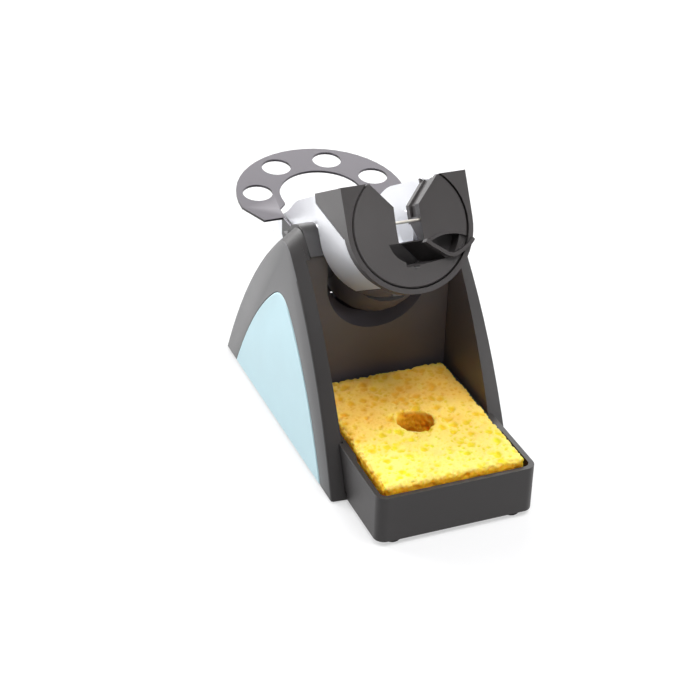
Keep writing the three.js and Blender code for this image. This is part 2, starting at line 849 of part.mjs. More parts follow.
// What lies above the side walls, which fall away behind the trunnions; y is from the trunnion axis.
function aboveWalls() {
  const shape = new THREE.Shape();
  const beyond = at(tailEnd) + 5;
  shape.moveTo(14.5, far);
  shape.lineTo(14.5, troughTop + 0.01);
  shape.quadraticCurveTo(20, troughTop, 26, troughTop - 1.8);
  shape.quadraticCurveTo(32, troughTop - 3.5, 38.3, troughTop - 3.5);
  shape.quadraticCurveTo(44, troughTop - 3.5, 48, tailTop + 2.6);
  shape.lineTo(beyond, tailTop - 0.3);
  shape.lineTo(beyond, far);
  shape.closePath();
  return alongX(shape, -far, far, 8);
}

function headShell() {
  const outer = headOuter();
  const stripSlot = keelStripHalfWidth + seatGap;
  const made = cut(
    join(outer.front, outer.rear),
    headInner(),
    aboveWalls(),
    box(-stripSlot, stripSlot, -far, at(frontSectionEnd + 0.2), -far, 0),
    box(-far, far, at(frontSectionEnd), far, -far, seamHeight),
  );
  const cheekRecess = alongX(cheekShape(seatGap), bezelHalfWidth - cheekThickness - seatGap, far);
  const bossInner = troughHalfWidth - trunnionBossReach;
  const pinBore = rod("x", trunnionRadius + 0.2, bossInner + trunnionBossWall, far, [0, 0], 32);
  const boss = cut(
    rod("x", washerRadius, bossInner, troughHalfWidth - 0.5, [0, 0], 32),
    box(-far, far, -far, far, -far, seamHeight),
  );
  return cut(
    join(cut(made, cheekRecess, mirrored(cheekRecess)), boss, mirrored(boss)),
    pinBore,
    mirrored(pinBore),
  );
}

// A barrel about the trunnion axis: an arc that bulges to the middle plane.
function barrel(arcRadius, halfWidth) {
  const steps = 8;
  const profile = [[0, -halfWidth]];
  for (let i = 0; i <= steps; i++) {
    const x = -halfWidth + (2 * halfWidth * i) / steps;
    profile.push([bellyOffset + Math.sqrt(arcRadius ** 2 - x ** 2), x]);
  }
  profile.push([0, halfWidth]);
  return turned("x", profile, [0, 0], 48);
}

function headKeel() {
  const outer = headOuter();
  const stripSides = [-keelStripHalfWidth, keelStripHalfWidth];
  const strip = common(outer.front, box(...stripSides, -far, at(frontSectionEnd), -far, -8));
  const step = common(
    rod("y", bezelHalfWidth, at(frontSectionEnd - 1.7), at(frontSectionEnd), [0, 0], 60),
    box(...stripSides, -far, far, -far, -10),
  );
  const below = box(-far, far, at(frontSectionEnd + seatGap), far, -far, seamHeight - seatGap);
  const bellyHalfWidth = bellyArcRadius - 0.3;
  const belly = common(barrel(bellyArcRadius, bellyHalfWidth), below);
  const bellyHollow = common(
    barrel(bellyArcRadius - bellyWall, bellyHalfWidth - bellyWall),
    box(-far, far, at(frontSectionEnd + bellyWall), far, -far, 0),
  );
  const rear = common(outer.rear, below);
  const tie = common(
    rod("y", troughHalfWidth, at(frontSectionEnd - 2), at(frontSectionEnd + 2), [0, 0], 48),
    box(...stripSides, -far, far, -far, seamHeight - seatGap),
  );
  const body = cut(join(strip, step, tie, rear, belly), headInner(), bellyHollow);
  const inside = troughHalfWidth - troughWall;
  const saddleHalfWidth = Math.sqrt(inside ** 2 - seamHeight ** 2) - seatGap;
  const saddle = common(
    rod("y", inside + 0.6, at(saddleDepth), at(saddleDepth + saddleThickness), [0, 0], 48),
    box(-saddleHalfWidth, saddleHalfWidth, -far, far, -far, saddleTop),
  );
  const dripHeight = seamHeight - dripHoleRadius - 1;
  const dripHole = rod("y", dripHoleRadius, at(tailEnd - 4), at(tailEnd + 4), [0, dripHeight], 24);
  const headSeats = frameScrewXs.map((x) => {
    const place = [x, at(frameScrewDepth)];
    return rod("z", screwHeadRadius + seatGap, -bezelHalfWidth - 5, frameScrewHeadV(x), place, 16);
  });
  return cut(join(body, saddle), dripHole, ...frameScrewHoles(), ...headSeats);
}

const frameScrewHeadV = (x) => -Math.sqrt(bezelHalfWidth ** 2 - x ** 2) + frameScrewSink;

// ---------- funnel insert ----------

function slotShape(grow, top) {
  const wide = slotTopHalfWidth + grow;
  const narrow = slotHalfWidth + grow;
  const lean = (slotTopHalfWidth - slotHalfWidth) / (bezelTop - slotKnee);
  const topWidth = wide + lean * (top - bezelTop);
  return polygon([
    [-topWidth, top],
    [-narrow, slotKnee - grow * 0.5],
    [-narrow, slotBottom],
    [narrow, slotBottom],
    [narrow, slotKnee - grow * 0.5],
    [topWidth, top],
  ]);
}

// The wide mouth under the slot that the iron's collar passes.
function mouthShape() {
  const shape = new THREE.Shape();
  shape.moveTo(-9, slotBottom + 0.3);
  shape.quadraticCurveTo(-8.2, -10, -3.7, -12.3);
  shape.lineTo(-3.6, -14.2);
  shape.lineTo(2.5, -14);
  shape.lineTo(11.6, -13.1);
  shape.quadraticCurveTo(9.4, -10.4, 7.6, -8.2);
  shape.quadraticCurveTo(6, -6.2, slotHalfWidth, slotBottom - 0.6);
  shape.lineTo(slotHalfWidth, slotBottom + 0.3);
  shape.closePath();
  return shape;
}

function pocketShape() {
  const shape = new THREE.Shape();
  shape.moveTo(7, -6.3);
  shape.quadraticCurveTo(14, -2.9, 21, -6.4);
  shape.quadraticCurveTo(18.6, -10.6, 14.2, -12);
  shape.quadraticCurveTo(10.2, -11.6, 7, -6.3);
  return shape;
}

// The thumb lip: a thin ridge that winds from the slot's foot between mouth and pocket to the rim.
function lipShape() {
  const fromRim = (reach, degrees) => {
    const angle = THREE.MathUtils.degToRad(degrees);
    return new THREE.Vector2(Math.cos(angle), Math.sin(angle)).multiplyScalar(insertRadius + reach);
  };
  const middle = new THREE.SplineCurve([
    new THREE.Vector2(slotHalfWidth - 0.5, slotBottom - 0.8),
    fromRim(-9.2, -46.6),
    fromRim(-3.2, -41.3),
    fromRim(0.5, -25.8),
    fromRim(2, -18.4),
  ]);
  const places = Array.from({ length: 13 }, (_, i) => i / 12);
  const side = (reach) => {
    return places.map((t) => {
      const along = middle.getTangent(t);
      return middle.getPoint(t).add(new THREE.Vector2(-along.y, along.x).multiplyScalar(reach));
    });
  };
  return new THREE.Shape([...side(-lipWidth / 2), ...side(lipWidth / 2).reverse()]);
}

function funnelInsert() {
  const back = insertDish + insertThickness;
  const edgeBack = bezelThickness - ledgeThickness - seatGap;
  const insideLedge = insertRadius - ledgeWidth - 0.4;
  const profile = [
    [0, at(insertDish)],
    [slotHalfWidth, at(insertDish)],
    [insertRadius - 1.2, at(0.35)],
    [insertRadius - 0.5, at(0.25)],
    [insertRadius, at(0.7)],
    [insertRadius, at(edgeBack)],
    [insideLedge, at(edgeBack)],
    [slotHalfWidth + 2, at(back)],
    [0, at(back)],
  ];
  const disc = turned("y", profile, [0, 0], 56);
  const top = bezelTop - 0.1;
  // Behind the foot the slot's walls step back, and the mouth's tube is open above.
  const stepped = alongX(
    polygon([
      [at(mouthWallDepth + 1), restPinHeight - 1],
      [at(slotWallDepth - 1.5), restPinHeight - 1],
      [at(slotFootDepth), slotBottom - 0.2],
      [at(mouthWallDepth + 1), slotBottom - 0.2],
    ]),
    -far,
    far,
  );
  const tubes = cut(
    join(
      alongY(slotShape(slotWall, top), at(insertDish + 0.5), at(slotWallDepth)),
      alongY(grown(mouthShape(), mouthWall), at(insertDish + 0.5), at(mouthWallDepth)),
    ),
    stepped,
  );
  const behind = common(
    join(tubes, alongY(grown(pocketShape(), pocketWall), at(1), at(pocketDepth + 1.2))),
    rod("y", insideLedge, at(0), at(mouthWallDepth + 1), [0, 0], 56),
  );
  const webReach = slotTopHalfWidth + slotWall + 0.4;
  const webPlace = [at(slotWebDepth), at(slotWallDepth), slotWebBottom, top];
  const web = common(
    box(slotWebHalfWidth, webReach, ...webPlace),
    rod("y", insideLedge, at(slotWebDepth), at(slotWallDepth), [0, 0], 56),
  );
  const deep = mouthWallDepth + 2;
  const pocket = alongY(pocketShape(), at(-3), at(pocketDepth), 10);
  const groove = common(
    alongY(slotShape(slotGroove, top + 5), ...slotGrooveDepths.map(at)),
    box(-far, far, -far, far, restPinHeight + 1.2, far),
  );
  const opened = cut(
    join(disc, behind),
    alongY(slotShape(0, top + 5), at(-3), at(deep)),
    groove,
    alongY(mouthShape(), at(-3), at(deep), 8),
    common(pocket, rod("y", insideLedge - pocketWall, at(-4), at(deep), [0, 0], 56)),
    common(pocket, box(-far, far, at(-4), at(pocketEdgeDepth), -far, far)),
    rod("y", 1.3, at(-3), at(deep), [0.2, -14], 16),
  );
  const lip = cut(
    alongY(lipShape(), at(-lipProud), at(insertDish)),
    cut(
      rod("y", insertRadius + 6, at(-seatGap), at(5), [0, 0], 56),
      rod("y", insertRadius, at(-1), at(6), [0, 0], 56),
    ),
  );
  const pinReach = slotHalfWidth + restPinSocket + 0.2;
  const pinBore = rod("x", restPinRadius + 0.2, -pinReach, pinReach, [at(restPinDepth), restPinHeight], 12);
  return cut(join(opened, lip, web, mirrored(web)), pinBore, box(-far, far, -far, far, top, far));
}

function restPin() {
  const reach = slotHalfWidth + restPinSocket;
  return rod("x", restPinRadius, -reach, reach, [at(restPinDepth), restPinHeight], 12);
}

function frameScrew(x) {
  const headV = frameScrewHeadV(x);
  const profile = [
    [0, headV - screwHeadHeight],
    [screwHeadRadius * 0.8, headV - screwHeadHeight],
    [screwHeadRadius, headV - screwHeadHeight * 0.5],
    [screwHeadRadius, headV - 0.05],
    [screwRadius, headV - 0.05],
    [screwRadius, -(bezelHalfWidth - 4.7)],
    [0, -(bezelHalfWidth - 5.2)],
  ];
  return turned("z", profile, [x, at(frameScrewDepth)], 10);
}

function trunnionPin() {
  const inner = troughHalfWidth - trunnionBossReach + trunnionBossWall + seatGap;
  const end = earOuterX - bushInset;
  const profile = [
    [0, inner],
    [trunnionRadius, inner],
    [trunnionRadius, end - 0.5],
    [trunnionRadius - 0.5, end],
    [0, end],
  ];
  return turned("x", profile, [0, 0]);
}

function frictionWasher() {
  const inner = troughHalfWidth + washerPlay;
  const outer = inner + washerThickness;
  const hole = trunnionRadius + 0.3;
  const profile = [
    [hole, inner],
    [washerRadius, inner],
    [washerRadius, outer],
    [hole, outer],
    [hole, inner],
  ];
  return turned("x", profile, [0, 0]);
}

// ---------- sponge tray ----------

function spongeTray() {
  const rearHalfWidth = bayHalfWidth - slideGap;
  const rearY = throatY - trayToThroat;
  const shoulderY = innerOutline.frontY - 0.7;
  const frontEnd = shoulderY + 10;
  const outline = roundedRectangle(
    -trayHalfWidth,
    trayHalfWidth,
    0,
    frontEnd + trayCornerRadius,
    trayCornerRadius,
  );
  const front = alongZ(outline, traySkirtBottom, trayTop, 8);
  const shoulder = archShape({
    ...innerOutline,
    frontY: shoulderY,
    tipY: innerOutline.tipY - 0.7,
  });
  const flankCut = alongX(shoulder, rearHalfWidth, trayHalfWidth + 5);
  const rear = box(-rearHalfWidth, rearHalfWidth, 20, rearY, trayUnderside, trayTop);
  const inside = trayHalfWidth - trayWall;
  const rearInside = rearHalfWidth - trayRearWall;
  const corner = trayCornerRadius - 1.5;
  const well = new THREE.Shape();
  well.moveTo(-inside + corner, trayWall);
  well.lineTo(inside - corner, trayWall);
  well.absarc(inside - corner, trayWall + corner, corner, -Math.PI / 2, 0, false);
  well.lineTo(inside, shoulderY - 4.4);
  well.lineTo(rearInside, shoulderY - 0.4);
  well.lineTo(rearInside, rearY - trayRearWall);
  well.lineTo(-rearInside, rearY - trayRearWall);
  well.lineTo(-rearInside, shoulderY - 0.4);
  well.lineTo(-inside, shoulderY - 4.4);
  well.lineTo(-inside, trayWall + corner);
  well.absarc(-inside + corner, trayWall + corner, corner, Math.PI, 1.5 * Math.PI, false);
  const footXs = [-trayFootX, trayFootX];
  const pads = footXs.map((x) => {
    const pad = rod("z", trayFootPadRadius, trayFootPadBottom, trayUnderside + 1, [x, trayFootY], 24);
    return common(pad, front);
  });
  const stems = footXs.map((x) => {
    const stemRadius = footStemRadius + footStemGap;
    return rod("z", stemRadius, 0, trayUnderside + 0.3, [x, trayFootY], 12);
  });
  const tray = cut(
    join(cut(front, flankCut, mirrored(flankCut), box(-far, far, frontEnd, far, 0, far)), rear),
    alongZ(well, trayUnderside + trayFloor, trayTop + 5, 6),
    box(-inside, inside, trayWall, far, 0, trayUnderside),
    box(-far, far, shoulderY - 0.2, far, 0, trayUnderside),
  );
  return cut(join(tray, ...pads), ...stems);
}

function spongeSolid() {
  const half = bayHalfWidth - slideGap - trayRearWall - spongePlay;
  const frontY = trayWall + 1.2;
  const rearY = throatY - trayToThroat - trayRearWall - 0.7;
  const bottom = trayUnderside + trayFloor + seatGap;
  const shape = new THREE.Shape();
  shape.moveTo(-half, bottom);
  shape.lineTo(half, bottom);
  shape.lineTo(half, spongeTop - spongeBevel);
  shape.lineTo(half - spongeBevel, spongeTop);
  shape.lineTo(-half + spongeBevel, spongeTop);
  shape.lineTo(-half, spongeTop - spongeBevel);
  const hole = rod("z", spongeHoleRadius, 0, spongeTop + 1, [0, (frontY + rearY) / 2], 28);
  return cut(alongY(shape, frontY, rearY), hole);
}

// ---------- tip rack ----------

// The rack plate is drawn flat round its arcs' centre, with its top face at height 0.
function rackPlate() {
  const shape = new THREE.Shape();
  const shoulderY = -1.9;
  const shoulderX = Math.sqrt(rackOuterRadius ** 2 - shoulderY ** 2);
  const start = Math.atan2(shoulderY, shoulderX);
  shape.moveTo(shoulderX, shoulderY);
  shape.absarc(0, 0, rackOuterRadius, start, Math.PI - start, false);
  shape.lineTo(-rackShoulder, rackFrontEdge);
  shape.lineTo(-rackEarInnerX, rackFrontEdge);
  shape.lineTo(-rackEarInnerX, rackFlareFrom);
  shape.lineTo(-rackInnerRadius, rackFlareTo);
  shape.lineTo(-rackInnerRadius, 0);
  shape.absarc(0, 0, rackInnerRadius, Math.PI, 0, true);
  shape.lineTo(rackInnerRadius, rackFlareTo);
  shape.lineTo(rackEarInnerX, rackFlareFrom);
  shape.lineTo(rackEarInnerX, rackFrontEdge);
  shape.lineTo(rackShoulder, rackFrontEdge);
  for (const angle of rackHoleAngles) {
    const a = THREE.MathUtils.degToRad(angle);
    const hole = new THREE.Path();
    hole.absarc(rackHolePitch * Math.sin(a), rackHolePitch * Math.cos(a), rackHoleRadius, 0,
      2 * Math.PI, true);
    shape.holes.push(hole);
  }
  return extrude(shape, rackThickness, 12).translate(0, 0, -rackThickness);
}

function tipRack() {
  const plate = solid(rackPlate().rotateX(rackAngle).translate(0, rackY, rackZ));
  const ear = cut(
    alongX(
      polygon([
        [rackEarFront, rackEarBottom + 1.5],
        [rackEarFront, rackEarTop - 1],
        [rackEarFront + 1, rackEarTop],
        [rackEarRear, rackEarTop],
        [rackEarRear, rackEarBottom + 2],
        [rackEarRear - 2, rackEarBottom],
        [rackEarFront + 1.5, rackEarBottom],
      ]),
      rackEarInnerX,
      rackEarOuterX,
    ),
    rod("x", screwRadius + boreGap, 0, far, [rackScrewY, rackScrewZ], 16),
  );
  return join(plate, ear, mirrored(ear));
}

function rackScrew() {
  const seat = rackRibX + rackRibThickness + 0.05;
  const profile = [
    [0, rackEarInnerX + 0.1],
    [screwRadius, rackEarInnerX + 0.1],
    [screwRadius, seat],
    [screwHeadRadius, seat],
    [screwHeadRadius, seat + screwHeadHeight * 0.6],
    [screwHeadRadius * 0.7, seat + screwHeadHeight],
    [0, seat + screwHeadHeight],
  ];
  return turned("x", profile, [rackScrewY, rackScrewZ], 12);
}

// ---------- materials ----------

function plastic(colour, roughness = 0.6) {
  return new THREE.MeshStandardMaterial({ color: colour, roughness, metalness: 0 });
}

function metal(colour, roughness = 0.35) {
  return new THREE.MeshStandardMaterial({ color: colour, roughness, metalness: 1 });
}

const charcoal = () => plastic(0x3f3d40);
const steel = () => metal(0xb9bcc0);

// ---------- assembly ----------

const rest = new THREE.Group();
const rackRear = rackY + rackOuterRadius * Math.cos(rackAngle) + rackThickness * Math.sin(rackAngle);
rest.position.y = -rackRear / 2;

function add(parent, name, made, material) {
  const mesh = new THREE.Mesh(geometryOf(made), material);
  mesh.name = name;
  parent.add(mesh);
}

function addPair(parent, name, made, material) {
  add(parent, name + "_right", made, material());
  add(parent, name + "_left", mirrored(made), material());
}

add(rest, "base_body", baseBody(), charcoal());
add(rest, "ballast_plate", ballastPlate(), steel());
baseFeet.forEach(([x, y], i) => {
  const foot = rubberFoot(x, y, footRadius, footHeight, floorTop - 0.3);
  add(rest, "base_foot_" + (i + 1), foot, plastic(0x1d1d1f, 0.9));
});
addPair(rest, "side_panel", sidePanel(), charcoal);
addPair(rest, "accent_panel", accentPanel(), () => plastic(0xa9dbe4, 0.45));
panelScrewYs.forEach((y, i) => {
  const place = i === 0 ? "front" : "rear";
  const screw = uprightScrew(panelScrewX, y, floorLow - 0.05, panelScrewTip);
  addPair(rest, "panel_screw_" + place, screw, steel);
});
ballastScrewYs.forEach((y, i) => {
  const screw = uprightScrew(0, y, floorLow + 1.5, bayFloorTop - 0.9);
  add(rest, "ballast_screw_" + (i + 1), screw, steel());
});
addPair(rest, "trunnion_cap", trunnionCap(), charcoal);
addPair(rest, "trunnion_bush", bush(), () => metal(0xb08d57, 0.5));
const capScrew = uprightScrew(capScrewX, capScrewY, capScrewHeadZ - 0.05, splitZ + capScrewReach);
addPair(rest, "cap_screw", capScrew, steel);

const head = new THREE.Group();
head.position.set(0, pivotY, pivotZ);
head.rotation.x = -THREE.MathUtils.degToRad(headTilt);
rest.add(head);
add(head, "head_frame", headFrame(), charcoal());
add(head, "head_shell", headShell(), plastic(0xe4e6ea, 0.5));
add(head, "head_keel", headKeel(), charcoal());
frameScrewXs.forEach((x, i) => add(head, "frame_screw_" + (i + 1), frameScrew(x), steel()));
addPair(head, "trunnion_pin", trunnionPin(), steel);
addPair(head, "friction_washer", frictionWasher(), steel);
add(head, "funnel_insert", funnelInsert(), charcoal());
add(head, "rest_pin", restPin(), steel());

add(rest, "sponge_tray", spongeTray(), charcoal());
const trayFoot = rubberFoot(
  trayFootX,
  trayFootY,
  trayFootRadius,
  trayFootPadBottom - seatGap,
  trayUnderside,
);
addPair(rest, "tray_foot", trayFoot, () => plastic(0x1d1d1f, 0.9));
add(rest, "sponge", spongeSolid(), plastic(0xf5d02c, 0.95));

add(rest, "tip_rack", tipRack(), metal(0x6a666c, 0.5));
addPair(rest, "rack_screw", rackScrew(), steel);

export default rest;
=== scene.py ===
import json
from math import radians

import bmesh
import bpy
from mathutils import Matrix, Vector, noise


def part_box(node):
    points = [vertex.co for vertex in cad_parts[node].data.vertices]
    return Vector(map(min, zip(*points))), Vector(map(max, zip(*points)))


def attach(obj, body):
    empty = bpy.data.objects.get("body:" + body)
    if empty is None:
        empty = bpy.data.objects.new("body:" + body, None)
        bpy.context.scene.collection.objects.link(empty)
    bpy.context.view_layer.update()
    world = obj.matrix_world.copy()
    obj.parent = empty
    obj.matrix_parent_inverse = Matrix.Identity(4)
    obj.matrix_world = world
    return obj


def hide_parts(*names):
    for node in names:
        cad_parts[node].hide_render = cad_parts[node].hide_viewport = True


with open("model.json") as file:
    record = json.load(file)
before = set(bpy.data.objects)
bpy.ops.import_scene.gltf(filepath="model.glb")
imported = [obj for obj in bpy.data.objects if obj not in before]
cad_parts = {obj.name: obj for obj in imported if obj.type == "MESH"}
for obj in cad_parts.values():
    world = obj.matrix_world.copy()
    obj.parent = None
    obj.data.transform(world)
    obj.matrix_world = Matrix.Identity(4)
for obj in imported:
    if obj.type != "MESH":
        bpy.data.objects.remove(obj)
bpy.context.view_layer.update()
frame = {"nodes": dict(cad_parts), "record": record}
scene = bpy.context.scene
mm = 0.001
print("frame loaded:", len(frame["nodes"]), "nodes")


def link(obj):
    scene.collection.objects.link(obj)
    return obj


def meshObject(bm, name, material):
    mesh = bpy.data.meshes.new(name)
    bm.to_mesh(mesh)
    bm.free()
    mesh.materials.append(material)
    return link(bpy.data.objects.new(name, mesh))


def applyModifiers(obj):
    evaluated = obj.evaluated_get(bpy.context.evaluated_depsgraph_get())
    mesh = bpy.data.meshes.new_from_object(evaluated)
    obj.modifiers.clear()
    obj.data = mesh


def smoothByAngle(bm, degrees):
    for face in bm.faces:
        face.smooth = True
    for edge in bm.edges:
        if len(edge.link_faces) == 2 and edge.calc_face_angle(0) > radians(degrees):
            edge.smooth = False


# Node helpers: a value is either a number, a colour or vector, or another node's output

def plug(tree, socket, value):
    if isinstance(value, bpy.types.NodeSocket):
        tree.links.new(value, socket)
    elif socket.type == "RGBA":
        socket.default_value = (*value, 1)
    else:
        socket.default_value = value


def mapRange(tree, value, fromRange=(0, 1), toRange=(0, 1), interpolation="LINEAR"):
    node = tree.nodes.new("ShaderNodeMapRange")
    node.interpolation_type = interpolation
    plug(tree, node.inputs["Value"], value)
    for label, end in zip(("From Min", "From Max", "To Min", "To Max"), (*fromRange, *toRange)):
        plug(tree, node.inputs[label], end)
    return node.outputs[0]


def calculate(tree, operation, *values, clamp=False):
    node = tree.nodes.new("ShaderNodeMath")
    node.operation = operation
    node.use_clamp = clamp
    for socket, value in zip(node.inputs, values):
        plug(tree, socket, value)
    return node.outputs[0]


def setInputs(tree, node, values):
    for label, value in values.items():
        plug(tree, node.inputs[label], value)


def cloudNoise(tree, place, scale, detail, roughness=0.5):
    node = tree.nodes.new("ShaderNodeTexNoise")
    plug(tree, node.inputs["Vector"], place)
    setInputs(tree, node, {"Scale": scale, "Detail": detail, "Roughness": roughness})
    return node.outputs["Fac"]


def bumpNormal(tree, height, strength, distance):
    node = tree.nodes.new("ShaderNodeBump")
    setInputs(tree, node, {"Height": height, "Strength": strength, "Distance": distance})
    return node.outputs["Normal"]


def mixColours(tree, share, first, second):
    node = tree.nodes.new("ShaderNodeMix")
    node.data_type = "RGBA"
    plug(tree, node.inputs["Factor"], share)
    plug(tree, node.inputs[6], first)
    plug(tree, node.inputs[7], second)
    return node.outputs[2]


def newMaterial(name, values):
    material = bpy.data.materials.new(name)
    material.use_nodes = True
    tree = material.node_tree
    shader = tree.nodes["Principled BSDF"]
    setInputs(tree, shader, values)
    return material, tree, shader


# Camera, light and floor

camera = {
    "lookAt": (0, -0.0262, 0.040),
    "azimuth": -22.9,
    "elevation": 30.65,
    "roll": 1.8,
    "distance": 0.6463,
    "slide": (0.0170, -0.0018),  # how far the middle of the view sits beside the point looked at
    "lens": 88.58,
    "sensor": 36,
    "nearest": 0.01,
}


def makeCamera(spec):
    data = bpy.data.cameras.new("camera")
    data.lens = spec["lens"]
    data.sensor_width = spec["sensor"]
    data.clip_start = spec["nearest"]
    turn = (
        Matrix.Rotation(radians(spec["azimuth"]), 4, "Z")
        @ Matrix.Rotation(radians(90 - spec["elevation"]), 4, "X")
        @ Matrix.Rotation(radians(spec["roll"]), 4, "Z")
    )
    place = Vector((-spec["slide"][0], -spec["slide"][1], spec["distance"]))
    obj = link(bpy.data.objects.new("camera", data))
    obj.matrix_world = Matrix.Translation(spec["lookAt"]) @ turn @ Matrix.Translation(place)
    scene.camera = obj


studio = {
    "lamps": {
        "leftLow": {"at": (-0.9, 1.1, 0.45), "size": (0.8, 0.6), "power": 16.0},
        "leftHigh": {"at": (-0.7, 0.9, 0.9), "size": (0.8, 0.7), "power": 6.0},
        "backWash": {"at": (0.3, 1.2, 0.6), "size": (1.2, 0.6), "power": 9.5},
        "overhead": {"at": (0.05, -0.35, 1.1), "size": (0.9, 0.7), "power": 12.0},
        "rightHigh": {"at": (0.9, 0.0, 0.8), "size": (0.7, 0.6), "power": 2.5},
        "rightLow": {"at": (0.95, -0.75, 0.35), "size": (0.6, 0.5), "power": 3.5},
        "frontFill": {"at": (-0.1, -1.2, 0.5), "size": (0.8, 0.7), "power": 1.2},
    },
    "aim": (0, 0, 0.05),
    "fill": 0.06,  # even light from the room
    "backdrop": 1.0,  # what glossy pieces mirror behind and beside the stand
    "darkSide": 0.1,  # and in front of it
    "front": (0, -1, 0),
    "turnsDark": (-0.1, 0.5),  # from the backdrop to the dark side, as a direction nears the front
}


def makeLamp(name, spec, aim):
    data = bpy.data.lights.new(name, "AREA")
    data.shape = "RECTANGLE"
    data.size, data.size_y = spec["size"]
    data.energy = spec["power"]
    obj = link(bpy.data.objects.new(name, data))
    towards = Vector(aim) - Vector(spec["at"])
    turn = towards.to_track_quat("-Z", "Y").to_matrix().to_4x4()
    obj.matrix_world = Matrix.Translation(spec["at"]) @ turn


def makeWorld(spec):
    world = bpy.data.worlds.new("studio")
    scene.world = world
    world.use_nodes = True
    tree = world.node_tree
    background = tree.nodes["Background"]
    plug(tree, background.inputs["Color"], (1, 1, 1))
    direction = tree.nodes.new("ShaderNodeTexCoord").outputs["Generated"]
    facing = tree.nodes.new("ShaderNodeVectorMath")
    facing.operation = "DOT_PRODUCT"
    plug(tree, facing.inputs[0], direction)
    plug(tree, facing.inputs[1], spec["front"])
    ends = (spec["backdrop"], spec["darkSide"])
    mirrored = mapRange(tree, facing.outputs["Value"], spec["turnsDark"], ends, "SMOOTHSTEP")
    path = tree.nodes.new("ShaderNodeLightPath").outputs
    lit = mapRange(tree, path["Is Glossy Ray"], toRange=(spec["fill"], mirrored))
    seen = mapRange(tree, path["Is Camera Ray"], toRange=(lit, 1))
    plug(tree, background.inputs["Strength"], seen)


floor = {
    "half": 1.1,
    "surface": {"Base Color": (0.42, 0.42, 0.425), "Roughness": 0.7, "Specular IOR Level": 0.2},
    "liftNear": 0.52,  # light of its own, for the camera and in reflections
    "liftFar": 1.0,
    "fade": (0.30, 0.85),  # from near to far, in metres from the middle
}


def makeFloor(spec):
    bm = bmesh.new()
    bmesh.ops.create_grid(bm, x_segments=1, y_segments=1, size=spec["half"])
    material, tree, shader = newMaterial("floorWhite", spec["surface"])
    away = tree.nodes.new("ShaderNodeVectorMath")
    away.operation = "LENGTH"
    plug(tree, away.inputs[0], tree.nodes.new("ShaderNodeTexCoord").outputs["Object"])
    lift = mapRange(tree, away.outputs["Value"], spec["fade"], (spec["liftNear"], spec["liftFar"]))
    path = tree.nodes.new("ShaderNodeLightPath").outputs
    seen = calculate(tree, "MAXIMUM", path["Is Camera Ray"], path["Is Glossy Ray"])
    glow = tree.nodes.new("ShaderNodeEmission")
    plug(tree, glow.inputs["Strength"], calculate(tree, "MULTIPLY", seen, lift))
    both = tree.nodes.new("ShaderNodeAddShader")
    tree.links.new(shader.outputs[0], both.inputs[0])
    tree.links.new(glow.outputs[0], both.inputs[1])
    tree.links.new(both.outputs[0], tree.nodes["Material Output"].inputs["Surface"])
    meshObject(bm, "floor", material)


makeCamera(camera)
for lampName, lamp in studio["lamps"].items():
    makeLamp(lampName, lamp, studio["aim"])
makeWorld(studio)
makeFloor(floor)
scene.view_settings.view_transform = "Standard"
print("studio ready")


# Finishes: every moulded, painted or metal surface shares one grain, with its own values

grainNoise = {
    "fineDetail": 3,
    "fineRoughness": 0.6,
    "cloudScale": 55,  # slow blotches, across the whole stand
    "cloudDetail": 4,
    "cloudRange": (0.3, 0.7),
    "height": 0.0002,
}


def makeGrain(spec):
    tree = bpy.data.node_groups.new("mouldGrain", "ShaderNodeTree")
    tree.interface.new_socket("Color", in_out="INPUT", socket_type="NodeSocketColor")
    for label in ("Variation", "Roughness", "Grain Scale", "Depth"):
        tree.interface.new_socket(label, in_out="INPUT", socket_type="NodeSocketFloat")
    for label, kind in {"Color": "Color", "Roughness": "Float", "Normal": "Vector"}.items():
        tree.interface.new_socket(label, in_out="OUTPUT", socket_type="NodeSocket" + kind)
    given = tree.nodes.new("NodeGroupInput").outputs
    result = tree.nodes.new("NodeGroupOutput").inputs
    place = tree.nodes.new("ShaderNodeTexCoord").outputs["Object"]
    fine = cloudNoise(tree, place, given["Grain Scale"], spec["fineDetail"], spec["fineRoughness"])
    cloud = cloudNoise(tree, place, spec["cloudScale"], spec["cloudDetail"])
    drift = mapRange(tree, cloud, spec["cloudRange"], (-0.5, 0.5))
    uneven = calculate(tree, "MULTIPLY_ADD", drift, given["Variation"], 1)
    shade = tree.nodes.new("ShaderNodeVectorMath")
    shade.operation = "SCALE"
    plug(tree, shade.inputs[0], given["Color"])
    plug(tree, shade.inputs["Scale"], uneven)
    plug(tree, result["Color"], shade.outputs[0])
    plug(tree, result["Roughness"], calculate(tree, "MULTIPLY", given["Roughness"], uneven))
    plug(tree, result["Normal"], bumpNormal(tree, fine, given["Depth"], spec["height"]))
    return tree


mouldGrain = makeGrain(grainNoise)

# variation is how blotchy a surface is, scale and depth belong to its fine grain
moulded = {"variation": 0.12, "scale": 2600, "depth": 0.2, "specular": 0.5, "metallic": 0.0}
pressed = {**moulded, "variation": 0.1, "depth": 0.15}
metal = {"variation": 0.1, "scale": 1800, "depth": 0.06, "specular": 0.5, "metallic": 1.0}

